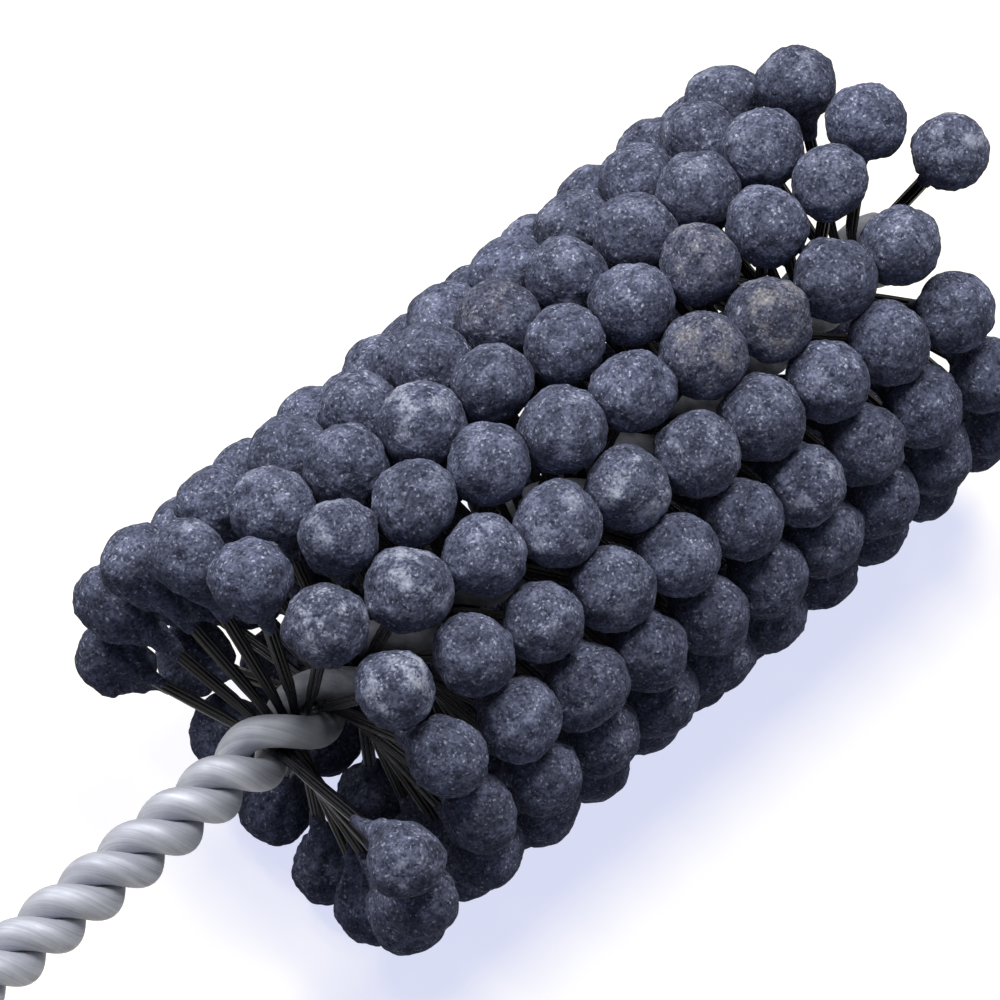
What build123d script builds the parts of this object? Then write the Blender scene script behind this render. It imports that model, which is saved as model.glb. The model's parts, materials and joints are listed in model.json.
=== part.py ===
from build123d import *
import os
from math import atan2, cos, degrees, floor, pi, radians, sin, sqrt

os.makedirs("parts", exist_ok=True)

# Flexible ball hone, lying on its side.
# Two steel wires are twisted into a stem. Nylon bristle bundles lie across the stem between the
# wires, a little further round at each step, so that their ends leave it in a double right-hand
# helix. Each bundle end carries one abrasive ball.
# The origin is on the stem's axis at the drive end, +X runs to the tip and +Z is up.
# Millimetres and degrees. A clock angle turns about +X by the right-hand rule, from 0 at +Z.

# Driving dimensions of the brush
free_diameter = 50.0  # over the balls, with the bristles straight
brush_length = 82.8  # from the first bundle to the last, at the stem
bare_stem_length = 117.0  # from the drive end to the first bundle
ball_diameter = 7.8
ball_size_spread = 0.3  # the smallest ball is this much smaller than the largest
row_gap = 0.3  # between a ball and the next in its column
column_gap = 0.5  # the least room between neighbouring columns, which flex apart
row_drift = 4.32  # how far round each ball of a column lies from the one before
row_bow = 6.0  # how far round the middle of each column bows, past its ends
tip_turn = 11.0  # how far round the last bundle's balls are pushed, past their even place
first_clock = -101.8  # where the first bundle points

# Driving dimensions of the balls' necks, where the slurry has run down the bristles
neck_length = 6.2  # from the ball's centre to the neck's tip
neck_wall = 0.3
neck_root = 58.0  # how far below the ball's waist the neck starts, in degrees
bore_depth = 0.9  # how far past the ball's centre the bore for the bundle reaches
glue_gap = 0.06

# Driving dimensions of the stem
wire_diameter = 3.2
stem_lay = 3.15  # pitch of the bare stem, in wire diameters
wire_gap = 0.06  # between the two wires of the bare stem
clamp_gap = 0.05  # between a bundle and the wire beside it
bundle_gap = 0.05  # between a bundle and the next
opening_length = 3.0  # the stretch over which the wires part ahead of the first bundle
opening_lead = 0.6  # how far short of the first bundle the wires are fully apart
opening_points = 13  # points of a wire's centre line there
tip_length = 3.2  # from the last bundle to the cut ends of the wires

# Driving dimensions of the bundles
bend_clearance = 0.5  # how far outside the stem a bundle bends towards its ball
bend_radius = 2.0
drive_lean = 1.5  # how far the first bundle's balls lean out past it
drive_lean_bundles = 14  # bundles over which that lean dies away
tip_lean = 4.0  # the same for the last bundle
tip_lean_bundles = 8
unevenness = 0.12  # how far a ball may lie from its even place, along the brush and around it
bent_aside = {(80, 0): (-1.5, 0), (82, 0): (-2.0, 1.2)}  # the same for two bent ends, by bundle and end
GOLDEN = (sqrt(5) - 1) / 2

# The lattice of balls: how many bundles fit in half a turn, and how far apart they lie
ring_radius = (free_diameter - ball_diameter) / 2
half_turn = 180 + row_drift
bundles_per_half_turn = floor(ring_radius * radians(half_turn) / (ball_diameter + column_gap))
bundle_turn = half_turn / bundles_per_half_turn
row_step = sqrt((ball_diameter + row_gap) ** 2 - (ring_radius * radians(row_drift)) ** 2)
bundle_step = row_step / bundles_per_half_turn
bundle_count = floor(brush_length / bundle_step) + 1
column_count = 2 * bundles_per_half_turn
last_bundle = bare_stem_length + (bundle_count - 1) * bundle_step

bundle_diameter = bundle_step - bundle_gap
bore_radius = bundle_diameter / 2 + glue_gap
neck_radius = bore_radius + neck_wall

# The stem: how far each wire's centre lies from the axis, and how fast the wires turn
wire_radius = wire_diameter / 2
bare_twist_radius = wire_radius + wire_gap / 2
open_twist_radius = wire_radius + bundle_diameter / 2 + clamp_gap
bare_turn_rate = 360 / (stem_lay * wire_diameter)
brush_turn_rate = bundle_turn / bundle_step
opening_end = bare_stem_length - opening_lead
opening_start = opening_end - opening_length
tip_end = last_bundle + tip_length
bend_distance = open_twist_radius + wire_radius + bend_clearance


def on_clock(x, radius, clock):
    """The point at a place along the stem, a distance from its axis and a clock angle."""
    return Vector(x, -radius * sin(radians(clock)), radius * cos(radians(clock)))


def eased(share):
    """A share from 0 to 1, made to start and end gently."""
    share = min(max(share, 0), 1)
    return share * share * (3 - 2 * share)


def twist_radius(x):
    """How far a wire's centre lies from the axis: the first bundle wedges the wires apart."""
    widening = eased((x - opening_start) / opening_length)
    return bare_twist_radius + (open_twist_radius - bare_twist_radius) * widening


def bundle_clock(x):
    """The clock angle of the gap between the wires, which is also that of a bundle there.

    The wires turn at the brush's rate past the opening, at the bare stem's before it, and at a
    rate that changes evenly along it.
    """
    ahead = max(opening_end - x, 0)
    changing = min(ahead, opening_length)
    extra_rate = bare_turn_rate - brush_turn_rate
    extra_turn = extra_rate * (changing**2 / (2 * opening_length) + ahead - changing)
    return first_clock + brush_turn_rate * (x - bare_stem_length) - extra_turn


def wire_point(x, side):
    """A point on the centre line of a wire, which lies a quarter turn from the bundles."""
    return on_clock(x, twist_radius(x), bundle_clock(x) + 90 * side)


def wire_direction(x, side):
    """The direction of a wire's centre line."""
    nearby = 0.001
    return (wire_point(x + nearby, side) - wire_point(x - nearby, side)).normalized()


def variation(index, kind):
    """An even spread of values from 0 to 1 that looks irregular from one index to the next."""
    return (index * GOLDEN + kind * GOLDEN * GOLDEN) % 1


def lean(index):
    """How far a bundle's balls lean along the stem: out past it, at both ends of the brush."""
    from_first = max(1 - index / drive_lean_bundles, 0)
    from_last = max(1 - (bundle_count - 1 - index) / tip_lean_bundles, 0)
    return tip_lean * from_last**2 - drive_lean * from_first**2


def bow(index):
    """How far round from its bundle's own clock angle a ball lies: ahead in mid brush and at the tip."""
    from_last = max(1 - (bundle_count - 1 - index) / tip_lean_bundles, 0)
    return row_bow * (sin(pi * index / (bundle_count - 1)) - 0.5) + tip_turn * from_last


class BallPlace:
    """Where one end of a bundle carries its ball."""

    def __init__(self, index, end):
        self.index = index
        self.end = end
        self.x = bare_stem_length + index * bundle_step
        self.clock = bundle_clock(self.x) + 180 * end
        self.bend = on_clock(self.x, bend_distance, self.clock)
        set_along, set_around = bent_aside.get((index, end), (0, 0))
        along = unevenness * (2 * variation(index, 2 + end) - 1) + set_along
        around = unevenness * (2 * variation(index, 4 + end) - 1) + set_around
        ball_clock = self.clock + bow(index) + degrees(around / ring_radius)
        self.centre = on_clock(self.x + lean(index) + along, ring_radius, ball_clock)
        self.outward = (self.centre - self.bend).normalized()
        self.radius = (ball_diameter - ball_size_spread * variation(index, end)) / 2

    @property
    def column(self):
        """The column, from 0, of balls that follow one another along the brush."""
        rows_along, start = divmod(self.index, bundles_per_half_turn)
        return start + bundles_per_half_turn * ((rows_along + self.end) % 2)


places = [BallPlace(index, end) for index in range(bundle_count) for end in (0, 1)]


def even_twist(start, end, side):
    """The centre line of a wire between two places where it turns at one rate and radius."""
    rate = (bundle_clock(end) - bundle_clock(start)) / (end - start)
    radius = twist_radius(start)
    spiral = Helix(360 / rate, end - start, radius, (start, 0, 0), (1, 0, 0), mode=Mode.PRIVATE)
    spiral_start = spiral @ 0
    spiral_clock = degrees(atan2(-spiral_start.Y, spiral_start.Z))
    return spiral.rotate(Axis.X, bundle_clock(start) + 90 * side - spiral_clock)


def opening(side):
    """The centre line of a wire where the two part, ahead of the first bundle."""
    steps = opening_points - 1
    stations = [opening_start + opening_length * step / steps for step in range(opening_points)]
    return Spline(
        *[wire_point(x, side) for x in stations],
        tangents=(wire_direction(opening_start, side), wire_direction(opening_end, side)),
        mode=Mode.PRIVATE,
    )


# The two wires, cut off square at both ends once they are twisted
for number, side in ((1, 1), (2, -1)):
    overrun = wire_diameter
    centre_lines = (
        even_twist(-overrun, opening_start, side),
        opening(side),
        even_twist(opening_end, tip_end + overrun, side),
    )
    with BuildPart() as stem_wire:
        for centre_line in centre_lines:
            with BuildLine() as stretch:
                add(centre_line)
            with BuildSketch(Plane(stretch.line @ 0, z_dir=stretch.line % 0)):
                Circle(wire_radius)
            sweep(is_frenet=True)
        split(bisect_by=Plane.YZ, keep=Keep.TOP)
        split(bisect_by=Plane.YZ.offset(tip_end), keep=Keep.BOTTOM)
    stem_wire.part.label = f"stem_wire_{number}"
    export_step(stem_wire.part, f"parts/stem_wire_{number}.step")


def bundle(index):
    """One bristle bundle: straight through the stem, then bent towards the ball at each end."""
    near, far = [place for place in places if place.index == index]
    with BuildPart() as one_bundle:
        with BuildLine() as route:
            FilletPolyline(near.centre, near.bend, far.bend, far.centre, radius=bend_radius)
        with BuildSketch(Plane(route.line @ 0, z_dir=route.line % 0)):
            Circle(bundle_diameter / 2)
        sweep()
    return one_bundle.part


for group in range(bundles_per_half_turn):
    with BuildPart() as bristle_bundles:
        for index in range(group, bundle_count, bundles_per_half_turn):
            add(bundle(index))
    bristle_bundles.part.label = f"bristle_bundles_{group + 1}"
    export_step(bristle_bundles.part, f"parts/bristle_bundles_{group + 1}.step")


def abrasive_ball(radius):
    """One ball on its neck, with a blind bore for its bundle, pointing away from the stem."""
    root_x = radius * cos(radians(neck_root))
    root_z = -radius * sin(radians(neck_root))
    with BuildPart() as ball:
        with BuildSketch(Plane.XZ):
            with BuildLine():
                Polyline(
                    (0, radius),
                    (0, bore_depth),
                    (bore_radius, bore_depth),
                    (bore_radius, -neck_length),
                    (neck_radius, -neck_length),
                )
                TangentArc((neck_radius, -neck_length), (root_x, root_z), tangent=(0, 1))
                CenterArc((0, 0), radius, -neck_root, neck_root + 90)
            make_face()
        revolve(axis=Axis.Z)
    return ball.part


for column in range(column_count):
    with BuildPart() as ball_column:
        for place in places:
            if place.column == column:
                with Locations(Plane(place.centre, z_dir=place.outward).location):
                    add(abrasive_ball(place.radius))
    ball_column.part.label = f"ball_column_{column + 1:02d}"
    export_step(ball_column.part, f"parts/ball_column_{column + 1:02d}.step")

print(f"{bundle_count} bundles, {len(places)} balls in {column_count} columns")
print(f"pitch in the brush {360 / brush_turn_rate:.2f}, bundle {bundle_diameter:.3f} across")
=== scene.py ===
"""The looks of a flexible ball hone: two twisted wires, nylon bristles and balls of abrasive grit.

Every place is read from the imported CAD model, and every length is in metres.
"""

import json
import logging
import math
from dataclasses import dataclass, field
from enum import Enum
from typing import Any, Mapping, Sequence

import bmesh
import bpy
import numpy as np
from mathutils import Matrix, Vector

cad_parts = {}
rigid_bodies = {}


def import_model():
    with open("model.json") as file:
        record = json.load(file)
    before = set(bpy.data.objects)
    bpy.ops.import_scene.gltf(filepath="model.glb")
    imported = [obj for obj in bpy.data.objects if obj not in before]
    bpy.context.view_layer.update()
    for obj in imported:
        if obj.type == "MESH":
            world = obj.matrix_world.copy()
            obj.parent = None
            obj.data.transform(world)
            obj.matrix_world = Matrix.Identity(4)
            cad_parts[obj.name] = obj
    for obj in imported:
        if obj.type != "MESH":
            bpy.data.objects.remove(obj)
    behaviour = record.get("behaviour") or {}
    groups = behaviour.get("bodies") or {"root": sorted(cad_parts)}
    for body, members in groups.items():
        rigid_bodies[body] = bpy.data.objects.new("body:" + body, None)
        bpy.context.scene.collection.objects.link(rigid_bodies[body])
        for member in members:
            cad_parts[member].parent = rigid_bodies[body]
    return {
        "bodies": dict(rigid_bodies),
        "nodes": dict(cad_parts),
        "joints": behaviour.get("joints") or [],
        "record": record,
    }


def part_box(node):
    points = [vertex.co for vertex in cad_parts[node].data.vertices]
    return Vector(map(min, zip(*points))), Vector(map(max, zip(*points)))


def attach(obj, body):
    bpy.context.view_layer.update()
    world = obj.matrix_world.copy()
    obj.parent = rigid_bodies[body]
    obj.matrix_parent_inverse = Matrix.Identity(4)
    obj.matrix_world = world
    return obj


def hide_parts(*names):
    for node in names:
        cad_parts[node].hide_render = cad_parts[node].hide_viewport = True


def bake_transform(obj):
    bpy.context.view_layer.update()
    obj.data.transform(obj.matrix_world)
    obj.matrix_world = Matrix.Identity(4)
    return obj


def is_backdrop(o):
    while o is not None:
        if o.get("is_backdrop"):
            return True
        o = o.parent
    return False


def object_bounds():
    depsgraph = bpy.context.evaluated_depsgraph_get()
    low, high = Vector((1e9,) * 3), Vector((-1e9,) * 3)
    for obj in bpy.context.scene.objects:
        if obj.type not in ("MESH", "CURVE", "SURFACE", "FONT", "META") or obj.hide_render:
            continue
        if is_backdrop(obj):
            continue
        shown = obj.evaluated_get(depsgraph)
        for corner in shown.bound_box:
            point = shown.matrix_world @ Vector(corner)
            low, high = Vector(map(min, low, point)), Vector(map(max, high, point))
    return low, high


MM = 0.001
TINY = 1e-6  # keeps a length of zero out of divisions

Colour = tuple[float, float, float]
Floats = tuple[float, ...]
Chance = np.random.Generator
Array = np.ndarray
Mesh = bpy.types.Mesh

log = logging.getLogger("ball_hone")


class Slot(Enum):
    """The material slots of the part's record."""

    WIRE = "wire"
    BRISTLE = "bristle"
    ABRASIVE = "abrasive"


class Shade:
    """A value that varies over a surface, which Python's own operators combine."""

    def __init__(self, nodes: "Nodes", socket: bpy.types.NodeSocket) -> None:
        """Wraps a socket of a tree's nodes."""
        self.nodes = nodes
        self.socket = socket

    def _math(self, operation: str, first: "Shade | float", second: "Shade | float") -> "Shade":
        """Adds the Math node of one operation."""
        return self.nodes.add("Math", {0: first, 1: second}, operation=operation)

    def __add__(self, other: "Shade | float") -> "Shade":
        """The sum with another value."""
        return self._math("ADD", self, other)

    __radd__ = __add__

    def __sub__(self, other: "Shade | float") -> "Shade":
        """The difference from another value."""
        return self._math("SUBTRACT", self, other)

    def __rsub__(self, other: float) -> "Shade":
        """A number less this value."""
        return self._math("SUBTRACT", other, self)

    def __mul__(self, other: "Shade | float") -> "Shade":
        """The product with another value."""
        return self._math("MULTIPLY", self, other)

    __rmul__ = __mul__


def weighted(shades: Sequence[Shade], shares: Floats) -> Shade:
    """Adds several shades up.

    Args:
        shades: The shades.
        shares: How much of each goes into the sum.

    Returns:
        The sum.
    """
    first, *others = [shade * share for shade, share in zip(shades, shares)]
    return sum(others, first)


class Nodes:
    """A tree of shader nodes under construction."""

    def __init__(self, owner: bpy.types.Material | bpy.types.World) -> None:
        """Empties the tree of a material or a world.

        Args:
            owner: The material or world.
        """
        owner.use_nodes = True
        self.tree = owner.node_tree
        self.tree.nodes.clear()

    def add(self, kind: str, values: Mapping[Any, Any], output: int | str = 0, **settings: Any) -> Shade:
        """Adds one node.

        Args:
            kind: The node's type.
            values: A value or a link for each socket that is named or numbered.
            output: Which of its outputs is wanted.
            settings: What the node itself is set to.

        Returns:
            That output.
        """
        node = self.tree.nodes.new(f"ShaderNode{kind}")
        for name, value in settings.items():
            setattr(node, name, value)
        for name, value in values.items():
            if isinstance(value, Shade):
                self.tree.links.new(value.socket, node.inputs[name])
            else:
                node.inputs[name].default_value = value
        return Shade(self, node.outputs[output])

    def rays(self, *kinds: str) -> Shade:
        """Tells some kinds of ray from the others.

        Args:
            kinds: Their names.

        Returns:
            1 for a ray of one of these kinds and 0 for any other.
        """
        first, *others = [self.add("LightPath", {}, f"Is {kind} Ray") for kind in kinds]
        return sum(others, first)

    def close(self, kind: str, shader: Shade) -> None:
        """Joins a shader to the tree's output, a node of some kind."""
        self.tree.links.new(shader.socket, self.tree.nodes.new(f"ShaderNode{kind}").inputs["Surface"])


class Surface(Nodes):
    """A material under construction, with the few patterns that this part's finishes need."""

    def __init__(self, name: str) -> None:
        """Makes an empty material of a name."""
        self.material = bpy.data.materials.new(name)
        super().__init__(self.material)

    def place(self) -> Shade:
        """Where a point lies in the part's own frame."""
        return self.add("TexCoord", {}, "Object")

    def attribute(self, name: str, output: str = "Fac") -> Shade:
        """What a piece's mesh carries under a name."""
        return self.add("Attribute", {}, output, attribute_name=name)

    def noise(self, place: Shade, grain: float, detail: float = 3, roughness: float = 0.55) -> Shade:
        """A cloudy pattern from 0 to 1.

        Args:
            place: Where each point lies.
            grain: The size of its larger patches, in metres.
            detail: How many finer layers it has.
            roughness: How strong these are.

        Returns:
            The pattern.
        """
        values = {"Vector": place, "Scale": 1 / grain, "Detail": detail, "Roughness": roughness}
        return self.add("TexNoise", values, "Fac")

    def grains(self, place: Shade, grain: float) -> Shade:
        """Packed grains of a size in metres, with a number from 0 to 1 for each."""
        colours = self.add("TexVoronoi", {"Vector": place, "Scale": 1 / grain}, "Color")
        return self.add("SeparateColor", {0: colours})

    def step(self, value: Shade, low: float, high: float, start: float = 0, end: float = 1) -> Shade:
        """A value carried smoothly from one range to another, and held at its ends.

        Args:
            value: What is carried over.
            low: Where its range starts.
            high: Where its range ends.
            start: What the low end becomes.
            end: What the high end becomes.

        Returns:
            The new value.
        """
        ends = {"Value": value, "From Min": low, "From Max": high, "To Min": start, "To Max": end}
        return self.add("MapRange", ends, "Result", interpolation_type="SMOOTHSTEP")

    def mix(self, share: Shade, first: Shade | Colour, second: Shade | Colour) -> Shade:
        """A colour between two.

        Args:
            share: From 0 for the first to 1 for the second.
            first: A colour or a link.
            second: A colour or a link.

        Returns:
            The colour.
        """
        ends = [colour if isinstance(colour, Shade) else (*colour, 1) for colour in (first, second)]
        return self.add("Mix", {0: share, 6: ends[0], 7: ends[1]}, 2, data_type="RGBA")

    def dim(self, colour: Shade, share: Shade) -> Shade:
        """A colour times a value."""
        return self.add("VectorMath", {0: colour, "Scale": share}, operation="SCALE")

    def stretch(self, place: Shade, scale: Floats) -> Shade:
        """A place with each of its directions scaled."""
        return self.add("VectorMath", {0: place, 1: scale}, operation="MULTIPLY")

    def bump(self, height: Shade, depth: float) -> Shade:
        """The surface's direction under a height pattern from 0 to 1 that is a depth in metres deep."""
        return self.add("Bump", {"Height": height, "Distance": depth, "Strength": 1})

    def finish(self, shader: Shade) -> bpy.types.Material:
        """Closes the material with its shader."""
        self.close("OutputMaterial", shader)
        return self.material

    def principled(self, values: Mapping[str, Any]) -> bpy.types.Material:
        """Closes the material with the general shader, whose sockets have these values or links."""
        return self.finish(self.add("BsdfPrincipled", values))


@dataclass(frozen=True)
class GritFinish:
    """Abrasive grit in a dark resin binder: matt, sandy and a little dusty."""

    binder: Colour = (0.022, 0.024, 0.046)
    grit: Colour = (0.166, 0.182, 0.268)
    sparkle: Colour = (0.4, 0.42, 0.51)
    dust: Colour = (0.48, 0.5, 0.58)
    rust: Colour = (0.34, 0.29, 0.19)
    grain: float = 0.31 * MM
    sparkle_grain: float = 0.24 * MM
    crust: float = 0.9 * MM
    patch: float = 2.4 * MM
    grit_shares: Floats = (0.54, 0.06, 0.4)  # of fine cloud, grains and crust
    grit_range: Floats = (0.29, 0.71)  # over which binder turns to grit
    patch_range: Floats = (0.3, 0.7, 0.65, 1.35)  # the patches', then the tone's
    sparkle_shares: Floats = (0.6, 0.7)  # of sparkling grains and fine cloud
    sparkle_range: Floats = (0.88, 1.05)
    dust_shares: Floats = (0.95, 0.3)  # of patches and fine cloud
    dust_range: Floats = (0.6, 0.85)
    rust_shares: Floats = (0.65, 0.45)
    rust_range: Floats = (0.46, 0.92)
    relief_shares: Floats = (0.4, 0.06, 0.8)  # of fine cloud, grains and crust
    relief: float = 0.2 * MM
    roughness: float = 0.95
    sparkle_gloss: float = 0.35  # how much less rough the sparkling grains are
    specular: float = 0.18

    def material(self) -> bpy.types.Material:
        """Makes the material of the balls.

        Returns:
            The material.
        """
        surface = Surface("abrasive_grit")
        place = surface.place()
        fine = surface.noise(place, self.grain, detail=2)
        cells = surface.grains(place, self.grain)
        crust = surface.noise(place, self.crust)
        clouds = surface.noise(place, self.patch)
        glitter = surface.grains(place, self.sparkle_grain)
        gritty = surface.step(weighted((fine, cells, crust), self.grit_shares), *self.grit_range)
        glint = surface.step(weighted((glitter, fine), self.sparkle_shares), *self.sparkle_range)
        dusty = surface.step(weighted((clouds, fine), self.dust_shares), *self.dust_range)
        rusty = surface.step(weighted((clouds, fine), self.rust_shares), *self.rust_range)
        tone = surface.step(clouds, *self.patch_range) * surface.attribute("tone")
        colour = surface.mix(glint, surface.mix(gritty, self.binder, self.grit), self.sparkle)
        colour = surface.mix(dusty * surface.attribute("dust"), surface.dim(colour, tone), self.dust)
        colour = surface.mix(rusty * surface.attribute("rust"), colour, self.rust)
        height = weighted((fine, cells, crust), self.relief_shares)
        return surface.principled({
            "Base Color": colour,
            "Roughness": self.roughness - glint * self.sparkle_gloss,
            "Normal": surface.bump(height, self.relief),
            "Specular IOR Level": self.specular,
        })


@dataclass(frozen=True)
class GalvanisedFinish:
    """Zinc-coated steel wire, satin, with the marks of drawing along it and painted shade in the brush."""

    bright: Colour = (0.49, 0.505, 0.56)
    dull: Colour = (0.34, 0.35, 0.4)
    # painted shade: the dark colour of the wires inside the brush, where the bristles shade them
    painted_shade: Colour = (0.07, 0.072, 0.085)
    streak: float = 0.16 * MM
    streak_scale: float = 1 / 60  # of the place along the wire, which draws the streaks out
    band: float = 0.8 * MM
    band_scale: float = 0.12
    mottle: float = 1.5 * MM
    layers: Floats = (4, 0.6)  # how many finer layers streaks and mottle have, and how strong
    wear_shares: Floats = (0.45, 0.35, 0.2)  # of streaks, bands and mottle
    wear_range: Floats = (0.34, 0.66)
    shade_range: Floats = (0.25, 0.75, 0.4, 1)  # the mottle's, then the painted shade's
    gloss_shares: Floats = (1, 0.5)  # of bands and mottle
    gloss_range: Floats = (0.5, 1, 0.74, 0.6)  # the pattern's, then the roughness's
    relief_shares: Floats = (0.6, 0.8, 0.5)
    relief: float = 0.006 * MM
    metallic: float = 0.6
    shade_matting: float = 0.4  # how much less metallic the wire is under the painted shade

    def material(self) -> bpy.types.Material:
        """Makes the material of the two wires, whose pattern follows their length.

        Returns:
            The material.
        """
        surface = Surface("galvanised_wire")
        along = surface.attribute("wire_place", "Vector")
        streaks = surface.noise(surface.stretch(along, (1, 1, self.streak_scale)), self.streak, *self.layers)
        bands = surface.noise(surface.stretch(along, (1, 1, self.band_scale)), self.band)
        mottle = surface.noise(along, self.mottle, *self.layers)
        marks = streaks, bands, mottle
        worn = surface.step(weighted(marks, self.wear_shares), *self.wear_range)
        # painted shade of the bristles on the wires in the brush, mottled
        painted_shade = surface.step(mottle, *self.shade_range) * surface.attribute("brush_shade")
        return surface.principled({
            "Base Color": surface.mix(painted_shade, surface.mix(worn, self.dull, self.bright), self.painted_shade),
            "Metallic": self.metallic - painted_shade * self.shade_matting,
            "Roughness": surface.step(weighted((bands, mottle), self.gloss_shares), *self.gloss_range),
            "Normal": surface.bump(weighted(marks, self.relief_shares), self.relief),
        })


@dataclass(frozen=True)
class NylonFinish:
    """Black nylon filament with a soft gloss."""

    colour: Colour = (0.005, 0.005, 0.008)
    worn: Colour = (0.014, 0.014, 0.02)
    patch: float = 1.1 * MM
    wear_range: Floats = (0.5, 0.8)
    gloss_range: Floats = (0.3, 0.75, 0.25, 0.42)  # the patches', then the roughness's
    specular: float = 0.22

    def material(self) -> bpy.types.Material:
        """Makes the material of the bristles.

        Returns:
            The material.
        """
        surface = Surface("nylon_filament")
        clouds = surface.noise(surface.place(), self.patch, roughness=0.6)
        return surface.principled({
            "Base Color": surface.mix(surface.step(clouds, *self.wear_range), self.colour, self.worn),
            "Roughness": surface.step(clouds, *self.gloss_range),
            "Specular IOR Level": self.specular,
        })


@dataclass(frozen=True)
class FloorFinish:
    """White paper whose shadows are a pale lavender."""

    paper: Colour = (0.1, 0.105, 0.13)  # how it throws light back at the hone
    glow: Colour = (0.66, 0.69, 0.885)  # how the deepest shadow looks
    shaded: Colour = (0.52, 0.45, 0.2)  # what the lamps add to that

    def material(self) -> bpy.types.Material:
        """Makes the floor's material: the camera sees it white, and darker only in shadow.

        Returns:
            The material.
        """
        surface = Surface("white_paper")
        paper = surface.add("BsdfDiffuse", {"Color": (*self.paper, 1)})
        glow = surface.add("Emission", {"Color": (*self.glow, 1), "Strength": 1})
        shaded = surface.add("BsdfDiffuse", {"Color": (*self.shaded, 1)})
        lit = surface.add("AddShader", {0: glow, 1: shaded})
        seen = surface.rays("Camera", "Glossy")
        return surface.finish(surface.add("MixShader", {0: seen, 1: paper, 2: lit}))


def mesh_points(mesh: Mesh) -> Array:
    """Reads a mesh's vertices.

    Args:
        mesh: The mesh.

    Returns:
        One row of three coordinates for each vertex.
    """
    points = np.empty(len(mesh.vertices) * 3)
    mesh.vertices.foreach_get("co", points)
    return points.reshape(-1, 3)


def solids_of(node: bpy.types.Object, tolerance: float = 0.001 * MM) -> list[Array]:
    """Separates a CAD node into its solids.

    Args:
        node: The node's object, a mesh of loose triangles.
        tolerance: How near two vertices are to count as one.

    Returns:
        The points of each solid, in their order along the part.
    """
    points = mesh_points(node.data)
    merged, names = np.unique(np.round(points / tolerance).astype(np.int64), axis=0, return_inverse=True)
    corners = np.empty(len(node.data.loops), int)
    node.data.loops.foreach_get("vertex_index", corners)
    corners = names.ravel()[corners].reshape(-1, 3)
    label = np.arange(len(merged))
    while True:
        spread = label.copy()
        for corner in corners.T:
            np.minimum.at(spread, corner, label[corners].min(axis=1))
        spread = spread[spread]
        if (spread == label).all():
            break
        label = spread
    solids = [merged[label == name] * tolerance for name in np.unique(label)]
    return sorted(solids, key=lambda solid: solid[:, 0].mean())


def unit(vector: Array) -> Array:
    """A vector of length 1, or a row of them."""
    return vector / np.linalg.norm(vector, axis=-1, keepdims=True)


def across(direction: Array) -> tuple[Array, Array]:
    """Finds two directions square to one that leads away from the stem.

    Args:
        direction: That direction.

    Returns:
        The direction along the brush and the one round it.
    """
    along = np.array([1.0, 0, 0])
    first = unit(along - direction * (along @ direction))
    return first, np.cross(direction, first)


def travelled(line: Array) -> Array:
    """How far along a line each of its points lies."""
    return np.concatenate([[0], np.cumsum(np.linalg.norm(np.diff(line, axis=0), axis=1))])


@dataclass
class CadBall:
    """One ball of the CAD model, measured on its solid."""

    centre: Array
    outward: Array
    radius: float

    @classmethod
    def measured(cls, solid: Array, cap: float = 2.2 * MM, tip: float = 0.1 * MM) -> "CadBall":
        """Fits a ball to the outer cap of its solid, and its axis to the end of its neck.

        Args:
            solid: The solid's points.
            cap: How deep the outer cap is, which holds only the ball's own surface.
            tip: How deep the part of the neck is that counts as its end.

        Returns:
            The ball.
        """
        reach = np.hypot(solid[:, 1], solid[:, 2])
        outer = solid[reach > reach.max() - cap]
        rows = np.column_stack([2 * outer, np.ones(len(outer))])
        fitted = np.linalg.lstsq(rows, (outer**2).sum(axis=1), rcond=None)[0]
        centre = fitted[:3]
        radius = math.sqrt(fitted[3] + centre @ centre)
        away = np.linalg.norm(solid - centre, axis=1)
        neck_end = solid[away > away.max() - tip]
        return cls(centre, unit(centre - neck_end.mean(axis=0)), radius)

    def root(self, distance: float) -> Array:
        """Finds where the line through the ball and its neck comes within a distance of the stem's axis.

        Args:
            distance: From the axis.

        Returns:
            The point, on the ball's side.
        """
        side, lean = self.centre[1:], self.outward[1:]
        squared, both = lean @ lean, lean @ side
        length = (both - math.sqrt(both**2 - squared * (side @ side - distance**2))) / squared
        return self.centre - self.outward * length


@dataclass
class BallColumn:
    """A column of balls that follow one another along the brush and flex together."""

    number: int
    balls: list[CadBall]

    @property
    def body(self) -> str:
        """The CAD body that it rides on."""
        return f"column_{self.number:02d}"

    @property
    def node(self) -> str:
        """The CAD node that it replaces."""
        return f"ball_column_{self.number:02d}"


def stored(shape: bmesh.types.BMesh, name: str) -> Mesh:
    """Turns a bmesh into a mesh, and frees it.

    Args:
        shape: The bmesh.
        name: The mesh's name.

    Returns:
        The mesh.
    """
    mesh = bpy.data.meshes.new(name)
    shape.to_mesh(mesh)
    shape.free()
    return mesh


def closed(shape: bmesh.types.BMesh, name: str) -> Mesh:
    """Turns a closed bmesh into a mesh whose faces point outwards, and frees it."""
    bmesh.ops.recalc_face_normals(shape, faces=shape.faces)
    return stored(shape, name)


def copies(template: Mesh, count: int) -> Mesh:
    """Makes one mesh of several copies of another, all in its place.

    Args:
        template: The mesh that is copied.
        count: How many copies there are.

    Returns:
        The mesh, whose vertices are those of the first copy, then of the second and so on.
    """
    shape = bmesh.new()
    for _ in range(count):
        shape.from_mesh(template)
    return stored(shape, template.name)


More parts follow.
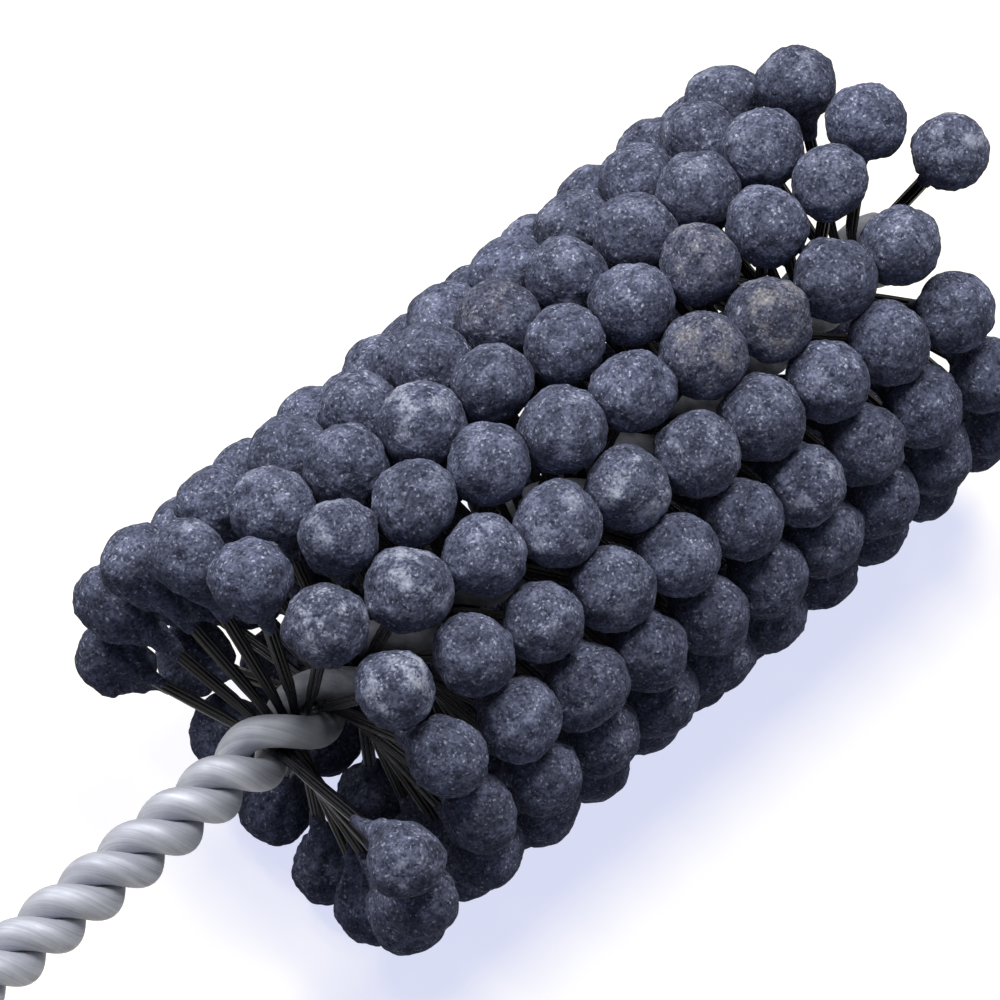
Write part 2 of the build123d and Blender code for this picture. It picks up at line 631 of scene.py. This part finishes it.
def rod(stations: int, sides: int) -> Mesh:
    """Makes a closed straight rod of radius 1 along Z, ready to be bent.

    Args:
        stations: How many rings of corners it has, one unit apart.
        sides: How many sides it has.

    Returns:
        The rod.
    """
    shape = bmesh.new()
    bmesh.ops.create_circle(shape, cap_ends=False, radius=1, segments=sides)
    rim = shape.edges[:]
    for _ in range(stations - 1):
        grown = bmesh.ops.extrude_edge_only(shape, edges=rim)["geom"]
        corners = {part for part in grown if isinstance(part, bmesh.types.BMVert)}
        edges = [part for part in grown if isinstance(part, bmesh.types.BMEdge)]
        rim = [edge for edge in edges if corners.issuperset(edge.verts)]
        bmesh.ops.translate(shape, vec=(0, 0, 1), verts=list(corners))
    bmesh.ops.edgeloop_fill(shape, edges=[edge for edge in shape.edges if edge.is_boundary])
    return closed(shape, "rod")


def bent(straight: Array, route: Array, frames: Array, radius: float) -> Array:
    """Bends a straight rod along a route.

    Args:
        straight: The rod's points.
        route: Where each of its rings goes.
        frames: For each ring, the two directions across the route.
        radius: The bent rod's radius.

    Returns:
        The rod's points on the route.
    """
    ring = np.rint(straight[:, 2]).astype(int)
    side = straight[:, :2] * radius
    return route[ring] + side[:, :1] * frames[ring, 0] + side[:, 1:] * frames[ring, 1]


def linked(name: str, data: bpy.types.ID) -> bpy.types.Object:
    """Puts an object into the scene.

    Args:
        name: Its name.
        data: Its mesh, lamp or camera.

    Returns:
        The object.
    """
    holder = bpy.data.objects.new(name, data)
    bpy.context.scene.collection.objects.link(holder)
    return holder


def new_piece(name: str, mesh: Mesh, material: bpy.types.Material) -> bpy.types.Object:
    """Puts a mesh into the scene as a smooth piece of the part.

    Args:
        name: The piece's name.
        mesh: Its mesh.
        material: Its finish.

    Returns:
        The piece.
    """
    piece = linked(name, mesh)
    mesh.shade_smooth()
    mesh.materials.append(material)
    return piece


def write_numbers(mesh: Mesh, name: str, values: Array) -> None:
    """Stores a number, or three, for each vertex of a mesh.

    Args:
        mesh: The mesh.
        name: What the attribute is called.
        values: One row for each vertex.
    """
    several = values.ndim > 1
    attribute = mesh.attributes.new(name, "FLOAT_VECTOR" if several else "FLOAT", "POINT")
    attribute.data.foreach_set("vector" if several else "value", values.astype(np.float32).ravel())


@dataclass
class AbrasiveBalls:
    """The balls: slurry dipped on the ends of the bristles and baked hard, so no two are alike."""

    fullness: Floats = (0.97, 1.07, 1.08, 1.06, 1.02)  # of the CAD ball's radius, along the brush
    size_spread: float = 0.04
    squash: Floats = (-0.021, 0.07)  # how much a ball is flattened at its top, least and most
    oval: float = 0.035  # how far out of round it may be
    subdivisions: int = 5  # of the icosphere that each ball starts from
    neck_start: float = math.radians(128)  # from the ball's top
    neck_start_spread: float = math.radians(16)
    neck_length: float = 5.9 * MM  # from the ball's centre
    neck_length_spread: float = 0.5 * MM
    wrinkled_length: float = 2.4 * MM  # added where the slurry ran far down
    neck_radius: float = 0.72 * MM
    neck_flare: float = 0.3  # how far the ball's curve runs on into the neck, as a share of the neck
    neck_taper: Floats = (0.03, 0.6)  # how far out and up the curve's handle at the neck's end is, likewise
    neck_tip: float = 0.3  # how far the neck's end bulges, in its radii
    contact_gap: float = 0.07 * MM
    contact_reach: float = 9.4 * MM  # how far off a ball's neighbours are looked for
    lumps: tuple[Floats, ...] = ((6.0, 0.1), (2.6, 0.06), (1.1, 0.035), (0.6, 0.012))  # size, height in mm
    smooth_reach: float = 0.5  # how far from its axis, in its radii, a ball has its full lumps
    smooth_share: float = 0.25  # of the lumps that are left on the axis
    drips: tuple[Floats, ...] = ((2.4, 0.12), (1.2, 0.05))  # the same, drawn out along the neck
    drip_scale: float = 0.35  # of the place along the neck, which draws the drips out
    drip_heights: Floats = (0.25, -0.95)  # in ball radii, where the drips start and where they are full
    drip_growth: float = 1.5
    drip_share: float = 0.15  # of the drips that is left above where they start
    drip_least: float = 0.35  # how strong they are on a ball without wrinkles
    dents: int = 3
    dent_depth: Floats = (-0.042 * MM, 0.14 * MM)  # least and most, a swelling where it is under nothing
    dent_width: Floats = (0.84 * MM, 1.92 * MM)
    end_rows: int = 1  # rows at the drive end where the slurry dried in wrinkles
    wrinkling: float = 0.25  # of the other rows, where that of the end rows is 1
    tone_spread: float = 0.12
    stray_dust: float = 0.3  # the most on a ball that isn't named below
    dusty: Mapping[tuple[int, int], float] = field(default_factory=lambda: {
        (6, 0): 1.0, (7, 0): 0.9, (6, 1): 0.8, (5, 1): 0.5, (6, 4): 0.9, (7, 6): 0.8,
        (6, 5): 0.5, (4, 10): 0.7, (4, 3): 0.8, (6, 3): 0.5, (4, 1): 0.5, (9, 0): 0.4,
    })  # by column and row
    rusty: Mapping[tuple[int, int], float] = field(default_factory=lambda: {
        (5, 7): 1.0, (5, 6): 0.8, (4, 7): 0.6, (3, 5): 0.5,
    })
    marked_heights: Floats = (0.2, 0.8)  # in ball radii, where dust and rust start and where they are full
    seed: int = 11
    profile_points: int = 160
    waves: int = 14
    wave_spread: Floats = (0.7, 1.4)  # how close a wave's crests are, least and most
    finish: GritFinish = field(default_factory=GritFinish)

    def build(self, columns: list[BallColumn], low: Array, high: Array) -> None:
        """Makes one piece for each column.

        Args:
            columns: The columns of CAD balls.
            low: The lowest corner of the CAD model.
            high: Its highest corner.
        """
        material = self.finish.material()
        sphere = self._sphere()
        centres = np.array([ball.centre for column in columns for ball in column.balls])
        ends = centres[:, 0].min(), centres[:, 0].max()
        for column in columns:
            chance = np.random.default_rng(self.seed + column.number)
            mesh = copies(sphere, len(column.balls))
            points = mesh_points(mesh).reshape(len(column.balls), -1, 3)
            for row, ball in enumerate(column.balls):
                full = np.interp(ball.centre[0], np.linspace(*ends, len(self.fullness)), self.fullness)
                radius = ball.radius * full * (1 + self.size_spread * chance.uniform(-1, 1))
                wrinkled = 1.0 if row < self.end_rows else self.wrinkling
                points[row] = self._shaped(points[row], ball, radius, wrinkled, centres, chance)
            pairs = zip(points, column.balls)
            crown = [(solid - ball.centre) @ ball.outward / ball.radius for solid, ball in pairs]
            mesh.vertices.foreach_set("co", np.clip(points.reshape(-1, 3), low, high).ravel())
            mesh.update()
            self._mark(mesh, column, np.concatenate(crown), chance)
            piece = new_piece(f"abrasive_balls_{column.number:02d}", mesh, material)
            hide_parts(column.node)
            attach(piece, column.body)
            log.info("%s: %d balls, %d faces", piece.name, len(column.balls), len(mesh.polygons))

    def _sphere(self) -> Mesh:
        """Makes a sphere of radius 1 at the origin.

        Returns:
            The sphere.
        """
        shape = bmesh.new()
        bmesh.ops.create_icosphere(shape, subdivisions=self.subdivisions, radius=1)
        return closed(shape, "sphere")

    def _profile(self, radius: float, wrinkled: float, chance: Chance) -> Array:
        """Works out the outline of a ball and its neck.

        Args:
            radius: The ball's radius.
            wrinkled: How far the slurry ran down the bristles, from 0 to 1.
            chance: Where its random numbers come from.

        Returns:
            Rows of distance from the ball's axis and height over its centre, from its top to its neck's end.
        """
        start = self.neck_start - self.neck_start_spread * (wrinkled + chance.uniform(-0.5, 0.5))
        length = self.neck_length + self.neck_length_spread * chance.uniform(-1, 1)
        length += self.wrinkled_length * wrinkled
        turn = np.linspace(0, start, self.profile_points)
        ball = np.column_stack([np.sin(turn), np.cos(turn)]) * radius
        heading = np.array([math.cos(start), -math.sin(start)])
        end = np.array([self.neck_radius, -length])
        reach = np.linalg.norm(end - ball[-1])
        leaving = ball[-1] + heading * reach * self.neck_flare
        handles = ball[-1], leaving, end + np.array(self.neck_taper) * reach, end
        share = np.linspace(0, 1, self.profile_points)[1:, None]
        weights = ((1 - share) ** 3, 3 * share * (1 - share) ** 2, 3 * share**2 * (1 - share), share**3)
        neck = sum(weight * handle for weight, handle in zip(weights, handles))
        return np.vstack([ball, neck, [[0, -length - self.neck_radius * self.neck_tip]]])

    def _shaped(
        self, sphere: Array, ball: CadBall, radius: float, wrinkled: float, centres: Array,
        chance: Chance,
    ) -> Array:
        """Shapes one ball.

        Args:
            sphere: The points of a sphere of radius 1.
            ball: The CAD ball that it stands for.
            radius: Its own radius.
            wrinkled: How wrinkled it is, from 0 to 1.
            centres: The centres of all the balls.
            chance: Where its random numbers come from.

        Returns:
            The ball's points, in place.
        """
        profile = self._profile(radius, wrinkled, chance)
        run = travelled(profile)
        way = np.arccos(np.clip(sphere[:, 2], -1, 1)) / math.pi * run[-1]
        slope = np.gradient(profile, run, axis=0)
        reach, height = (np.interp(way, run, profile[:, axis]) for axis in (0, 1))
        upward, inward = (np.interp(way, run, slope[:, axis]) for axis in (0, 1))
        ring = sphere[:, :2] / np.maximum(np.hypot(sphere[:, 0], sphere[:, 1]), TINY)[:, None]
        oval, squash = self.oval * chance.uniform(-1, 1), chance.uniform(*self.squash)
        local = np.column_stack([ring * reach[:, None] * [1 + oval, 1 - oval], height * (1 - squash)])
        normal = unit(np.column_stack([-ring * inward[:, None], upward]) + [0, 0, TINY])
        rise = self._waves(local, self.lumps, chance)
        drip = self._waves(local * [1, 1, self.drip_scale], self.drips, chance)
        full = np.interp(-height / radius, -np.array(self.drip_heights), (0, 1)) ** self.drip_growth
        rise += drip * (self.drip_share + (1 - self.drip_share) * full) * (self.drip_least + wrinkled)
        rise -= self._dent(local, radius, chance)
        rise *= np.interp(reach / radius, (0, self.smooth_reach), (self.smooth_share, 1))
        local = local + normal * rise[:, None]
        first, second = across(ball.outward)
        frame = np.array([first, second, ball.outward])
        sunk = ball.outward * (radius * (1 - squash) - ball.radius)
        return self._pressed(local @ frame - sunk, ball.centre, centres) + ball.centre

    def _waves(self, points: Array, swells: tuple[Floats, ...], chance: Chance) -> Array:
        """Adds up irregular swells over a ball.

        Args:
            points: The ball's points.
            swells: For each, how far apart its crests lie and how high they are, in millimetres.
            chance: Where its random numbers come from.

        Returns:
            A height for each point, in metres.
        """
        total = np.zeros(len(points))
        for size, height in swells:
            headings = unit(chance.normal(size=(self.waves, 3))) * (2 * math.pi / (size * MM))
            headings *= chance.uniform(*self.wave_spread, (self.waves, 1))
            phases = chance.uniform(0, 2 * math.pi, self.waves)
            swell = np.sin(points @ headings.T + phases).sum(axis=1) / math.sqrt(self.waves / 2)
            total += swell * height * MM
        return total

    def _dent(self, points: Array, radius: float, chance: Chance) -> Array:
        """Presses a few shallow dents into a ball.

        Args:
            points: The ball's points.
            radius: The ball's radius.
            chance: Where its random numbers come from.

        Returns:
            How deep each point lies in them.
        """
        deep = np.zeros(len(points))
        for _ in range(self.dents):
            place = unit(chance.normal(size=3)) * radius
            width = chance.uniform(*self.dent_width)
            away = np.linalg.norm(points - place, axis=1)
            deep += chance.uniform(*self.dent_depth) * np.exp(-((away / width) ** 2))
        return deep

    def _pressed(self, points: Array, centre: Array, centres: Array) -> Array:
        """Flattens a ball where it meets its neighbours.

        Args:
            points: The ball's points, from its own centre.
            centre: That centre.
            centres: The centres of all the balls.

        Returns:
            The ball's points, from its own centre.
        """
        away = centres - centre
        distance = np.linalg.norm(away, axis=1)
        for step, length in zip(away, distance):
            if 0 < length < self.contact_reach:
                toward = step / length
                over = points @ toward - (length / 2 - self.contact_gap)
                points = points - np.maximum(over, 0)[:, None] * toward
        return points

    def _mark(self, mesh: Mesh, column: BallColumn, crown: Array, chance: Chance) -> None:
        """Gives each ball its own tone, dust and rust.

        Args:
            mesh: The column's mesh.
            column: The column.
            crown: How far up its ball each point lies, from -1 to 1.
            chance: Where its random numbers come from.
        """
        rows = range(len(column.balls))
        count = len(mesh.vertices) // len(rows)
        tone = chance.uniform(1 - self.tone_spread, 1 + self.tone_spread, len(rows))
        dust = [self.dusty.get((column.number, row), chance.uniform(0, self.stray_dust)) for row in rows]
        rust = [self.rusty.get((column.number, row), 0) for row in rows]
        worn = np.interp(crown, self.marked_heights, (0, 1))
        write_numbers(mesh, "tone", np.repeat(tone, count))
        write_numbers(mesh, "dust", np.repeat(dust, count) * worn)
        write_numbers(mesh, "rust", np.repeat(rust, count) * worn)


@dataclass
class Bristles:
    """The bristle bundles: nylon strands that run from between the wires into the balls."""

    strands: int = 9  # one in the middle and the others round it
    strand_diameter: float = 0.42 * MM
    sides: int = 6
    bend_clearance: float = 0.5 * MM  # how far outside the stem a bundle bends towards its ball
    bend_length: float = 1.5 * MM  # how far the bend reaches to either side
    free_places: Floats = (0.33, 0.7, 1)  # of its last rings, as shares of the way into the ball
    spread: Floats = (0.24, 0.24, 0.31, 0.414, 0.46, 0.46, 0.4)  # mm from a bundle's middle, by ring
    stray: float = 0.05 * MM  # of a strand from its even place, outside the stem
    buried: float = 1.6 * MM  # how far short of a ball's centre the strands end
    follow_length: float = 7.2 * MM  # from a ball's centre to where its bundle follows it fully
    seed: int = 5
    finish: NylonFinish = field(default_factory=NylonFinish)

    def build(self, columns: list[BallColumn], stem_radius: float) -> None:
        """Makes one piece for each column, whose bundles run from the stem into the column's balls.

        Args:
            columns: The columns of CAD balls.
            stem_radius: How far the stem reaches from its axis, in the brush.
        """
        material = self.finish.material()
        bend = stem_radius + self.bend_clearance
        spread = np.array(self.spread)[:, None] * MM
        template = rod(len(spread), self.sides)
        half = len(columns) // 2
        for column in columns:
            chance = np.random.default_rng(self.seed + column.number)
            count = self.strands * len(column.balls)
            mesh = copies(template, count)
            rods = mesh_points(mesh).reshape(count, -1, 3)
            for index, ball in enumerate(column.balls):
                route, frames = self._route(ball, bend)
                turn = chance.uniform(0, 2 * math.pi)
                for strand in range(self.strands):
                    number = index * self.strands + strand
                    angle = turn + 2 * math.pi * strand / (self.strands - 1)
                    side = np.array([math.cos(angle), math.sin(angle)]) * spread * (strand > 0)
                    side[2:-1] += chance.uniform(-self.stray, self.stray, 2)
                    line = route + side[:, :1] * frames[:, 0] + side[:, 1:] * frames[:, 1]
                    rods[number] = bent(rods[number], line, frames, self.strand_diameter / 2)
            mesh.vertices.foreach_set("co", rods.ravel())
            mesh.update()
            piece = new_piece(f"bristles_{column.number:02d}", mesh, material)
            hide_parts(f"bristle_bundles_{(column.number - 1) % half + 1}")
            start = np.mean([ball.root(bend) for ball in column.balls], axis=0)
            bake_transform(piece)
            log.info("%s: %d strands", piece.name, len(rods))

    def _route(self, ball: CadBall, bend: float) -> tuple[Array, Array]:
        """Finds the line of a bundle's half, from the stem's axis into its ball.

        Args:
            ball: The ball.
            bend: How far from the axis the bundle bends.

        Returns:
            The line's points, and for each the two directions across it.
        """
        corner = ball.root(bend)
        start = np.array([corner[0], 0, 0])
        end = ball.centre - ball.outward * self.buried
        before = corner + unit(start - corner) * self.bend_length
        after = corner + ball.outward * self.bend_length
        middle = (before + 2 * corner + after) / 4
        free = [after + (end - after) * share for share in self.free_places]
        line = np.array([start, before, middle, after, *free])
        headings = unit(np.gradient(line, axis=0))
        return line, np.array([across(heading) for heading in headings])


@dataclass
class TwistedWires:
    """The stem: two wires twisted together right-handed, which the bristles wedge apart in the brush."""

    wire_diameter: float = 3.2 * MM
    wire_gap: float = 0.06 * MM  # between the two wires of the bare stem
    lay: float = 3.15  # pitch of the bare stem, in wire diameters
    opening_length: float = 3.0 * MM  # the stretch over which the wires part
    opening_lead: float = 0.6 * MM  # how far short of the first bundle they are fully apart
    ring_step: float = 0.3 * MM
    sides: int = 32
    cut_edge: float = 0.18 * MM  # filed off the edges of the cut ends
    brush_shade: float = 0.85  # how dark the painted shade of the bristles makes the wires in the brush
    brush_shade_reach: float = 6 * MM  # past the first bundle
    finish: GalvanisedFinish = field(default_factory=GalvanisedFinish)

    def build(self, columns: list[BallColumn], stem_radius: float, length: float, bend: float) -> None:
        """Makes the two wires.

        Args:
            columns: The columns of CAD balls, whose bundles show how the wires turn.
            stem_radius: How far the stem reaches from its axis, in the brush.
            length: The stem's length.
            bend: How far from the axis the bundles bend.
        """
        material = self.finish.material()
        turning = self._brush_turning(columns, bend)
        overrun = self.wire_diameter
        rings = int((length + 2 * overrun) / self.ring_step)
        stations = np.linspace(-overrun, length + overrun, rings)
        template = rod(rings, self.sides)
        for number, side in ((1, 1), (2, -1)):
            line = self._places(stations, turning, stem_radius, side)
            heading = unit(np.gradient(line, axis=0))
            outward = unit(line * [0, 1, 1])
            first = unit(outward - heading * (outward * heading).sum(axis=1, keepdims=True))
            frames = np.stack([first, np.cross(heading, first)], axis=1)
            mesh = copies(template, 1)
            straight = mesh_points(mesh)
            mesh.vertices.foreach_set("co", bent(straight, line, frames, self.wire_diameter / 2).ravel())
            ring = np.rint(straight[:, 2]).astype(int)
            along = travelled(line)[ring] + number  # a metre apart, so that their patterns differ
            unrolled = np.column_stack([straight[:, :2] * self.wire_diameter / 2, along])
            write_numbers(mesh, "wire_place", unrolled)
            # painted shade: grows from the first bundle into the brush, where the bristles shade the wires
            inside = np.clip((line[ring, 0] - turning[0]) / self.brush_shade_reach, 0, 1)
            write_numbers(mesh, "brush_shade", inside * self.brush_shade)
            self._cut(mesh, length)
            piece = new_piece(f"wire_{number}", mesh, material)
            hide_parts(f"stem_wire_{number}")
            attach(piece, "stem")
            log.info("%s: %d rings", piece.name, rings)

    def _cut(self, mesh: Mesh, length: float) -> None:
        """Cuts a wire off square at both ends of the stem, and files the edges.

        Args:
            mesh: The wire, longer than the stem at both ends.
            length: The stem's length.
        """
        shape = bmesh.new()
        shape.from_mesh(mesh)
        for place, side in ((0, -1), (length, 1)):
            parts = shape.verts[:] + shape.edges[:] + shape.faces[:]
            bmesh.ops.bisect_plane(
                shape, geom=parts, plane_co=(place, 0, 0), plane_no=(side, 0, 0), clear_outer=True
            )
            rim = [edge for edge in shape.edges if edge.is_boundary]
            cap = bmesh.ops.edgeloop_fill(shape, edges=rim)["faces"]
            edges = [edge for face in cap for edge in face.edges]
            bmesh.ops.bevel(
                shape, geom=edges, offset=self.cut_edge, offset_type="OFFSET", segments=2, profile=0.5,
                affect="EDGES", material=-1, clamp_overlap=True,
            )
        bmesh.ops.recalc_face_normals(shape, faces=shape.faces)
        shape.to_mesh(mesh)
        shape.free()

    @staticmethod
    def _brush_turning(columns: list[BallColumn], bend: float) -> Floats:
        """Reads from the bundles how the stem turns.

        Args:
            columns: The columns of CAD balls.
            bend: How far from the axis the bundles bend.

        Returns:
            The first bundle's place along the stem, its clock angle and the turn for each metre.
        """
        roots = [ball.root(bend) for column in columns for ball in column.balls]
        roots = np.array(sorted(roots, key=lambda root: root[0]))
        clocks = np.arctan2(-roots[:, 1], roots[:, 2])
        turning = np.polyfit(roots[:, 0], np.unwrap(clocks, period=math.pi), 1)
        return float(roots[0, 0]), float(np.polyval(turning, roots[0, 0])), float(turning[0])

    def _places(self, stations: Array, turning: Floats, stem_radius: float, side: int) -> Array:
        """Works out a wire's centre line.

        Args:
            stations: Places along the stem.
            turning: The first bundle's place, its clock angle and the turn for each metre.
            stem_radius: How far the stem reaches from its axis, in the brush.
            side: 1 for one wire and -1 for the other.

        Returns:
            A point for each station.
        """
        first, clock, rate = turning
        opening_end = first - self.opening_lead
        bare_rate = 2 * math.pi / (self.lay * self.wire_diameter)
        bare = (self.wire_diameter + self.wire_gap) / 2
        apart = stem_radius - self.wire_diameter / 2
        share = np.clip((stations - opening_end) / self.opening_length + 1, 0, 1)
        radius = bare + (apart - bare) * share * share * (3 - 2 * share)
        ahead = np.maximum(opening_end - stations, 0)
        changing = np.minimum(ahead, self.opening_length)
        extra = (bare_rate - rate) * (changing**2 / (2 * self.opening_length) + ahead - changing)
        angle = clock + rate * (stations - first) - extra + math.pi / 2 * side
        return np.column_stack([stations, -radius * np.sin(angle), radius * np.cos(angle)])


@dataclass
class Studio:
    """The floor, the lights and the camera, none of which is part of the hone."""

    azimuth: float = math.radians(-44.68)
    elevation: float = math.radians(55.51)
    distance: float = 680 * MM
    target: Floats = (188.16 * MM, 40.46 * MM, -73.34 * MM)
    focal_pixels: float = 6043
    picture_width: int = 1000
    sensor_width: float = 36  # millimetres, as Blender's cameras have it
    near_limit: float = 0.01
    floor_width: float = 3.0
    floor_gap: float = 0.05 * MM
    sky_colour: Colour = (0.72, 0.78, 1)
    sky: float = 0.16
    lamp_places: tuple[Floats, ...] = ((0.52, 0, 1.62), (0, 1.02, 1.36))  # from the hone's centre
    lamp_width: float = 0.6
    lamp_power: float = 19.6  # watts
    paper: FloorFinish = field(default_factory=FloorFinish)

    def build(self, low: Vector, high: Vector) -> None:
        """Sets up the studio round the hone.

        Args:
            low: The hone's lowest corner.
            high: Its highest corner.
        """
        bpy.context.scene.view_settings.view_transform = "Standard"
        centre = (low + high) / 2
        self._floor(centre, low.z - self.floor_gap)
        self._sky()
        for number, place in enumerate(self.lamp_places, 1):
            self._softbox(f"softbox_{number}", Vector(place), centre)
        self._camera()

    def _floor(self, centre: Vector, height: float) -> None:
        """Lays the sheet of paper under the hone.

        Args:
            centre: The hone's centre.
            height: The paper's height.
        """
        shape = bmesh.new()
        lift = Matrix.Translation((centre.x, centre.y, height))
        bmesh.ops.create_grid(shape, x_segments=1, y_segments=1, size=self.floor_width / 2, matrix=lift)
        mesh = stored(shape, "floor")
        mesh.materials.append(self.paper.material())
        floor = linked("floor", mesh)
        floor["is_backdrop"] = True

    def _sky(self) -> None:
        """Surrounds the hone with soft light, and with white for the camera and in reflections."""
        world = bpy.data.worlds.new("studio")
        bpy.context.scene.world = world
        nodes = Nodes(world)
        seen = nodes.rays("Camera", "Glossy", "Transmission")
        soft = nodes.add("Background", {"Color": (*self.sky_colour, 1), "Strength": self.sky})
        white = nodes.add("Background", {"Color": (1, 1, 1, 1), "Strength": 1})
        nodes.close("OutputWorld", nodes.add("MixShader", {0: seen, 1: soft, 2: white}))

    def _softbox(self, name: str, place: Vector, centre: Vector) -> None:
        """Hangs a square lamp.

        Args:
            name: The lamp's name.
            place: Where it hangs, from the hone's centre.
            centre: The hone's centre, which it faces.
        """
        lamp = bpy.data.lights.new(name, "AREA")
        lamp.size = self.lamp_width
        lamp.energy = self.lamp_power
        holder = linked(name, lamp)
        holder.location = centre + place
        holder.rotation_euler = (-place).to_track_quat("-Z", "Y").to_euler()

    def _camera(self) -> None:
        """Puts the camera where the photograph was taken from."""
        turn, rise = self.azimuth, self.elevation
        right = Vector((math.cos(turn), math.sin(turn), 0))
        back = Vector((math.sin(turn) * math.cos(rise), -math.cos(turn) * math.cos(rise), math.sin(rise)))
        lens = bpy.data.cameras.new("camera")
        lens.sensor_width = self.sensor_width
        lens.lens = self.focal_pixels / self.picture_width * self.sensor_width
        lens.clip_start = self.near_limit
        holder = linked("camera", lens)
        frame = Matrix((right, back.cross(right), back)).transposed().to_4x4()
        frame.translation = Vector(self.target) + back * self.distance
        holder.matrix_world = frame
        bpy.context.scene.camera = holder


def read_columns(nodes: Mapping[str, bpy.types.Object]) -> list[BallColumn]:
    """Measures the columns of balls on the CAD model.

    Args:
        nodes: The CAD nodes by name.

    Returns:
        The columns, in the order of their names.
    """
    names = sorted(name for name in nodes if name.startswith("ball_column_"))
    return [
        BallColumn(number, [CadBall.measured(solid) for solid in solids_of(nodes[name])])
        for number, name in enumerate(names, 1)
    ]


def main() -> None:
    """Builds the hone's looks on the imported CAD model."""
    logging.basicConfig(level=logging.INFO, format="%(message)s")
    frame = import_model()
    cad_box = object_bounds()
    columns = read_columns(frame["nodes"])
    balls, bristles, wires = AbrasiveBalls(), Bristles(), TwistedWires()
    stem_low, stem_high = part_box("stem_wire_1")
    stem_radius = stem_high.z
    bend = stem_radius + bristles.bend_clearance
    balls.build(columns, np.array(cad_box[0]), np.array(cad_box[1]))
    bristles.build(columns, stem_radius)
    wires.build(columns, stem_radius, stem_high.x - stem_low.x, bend)
    Studio().build(*cad_box)


if __name__ == "__main__":
    main()
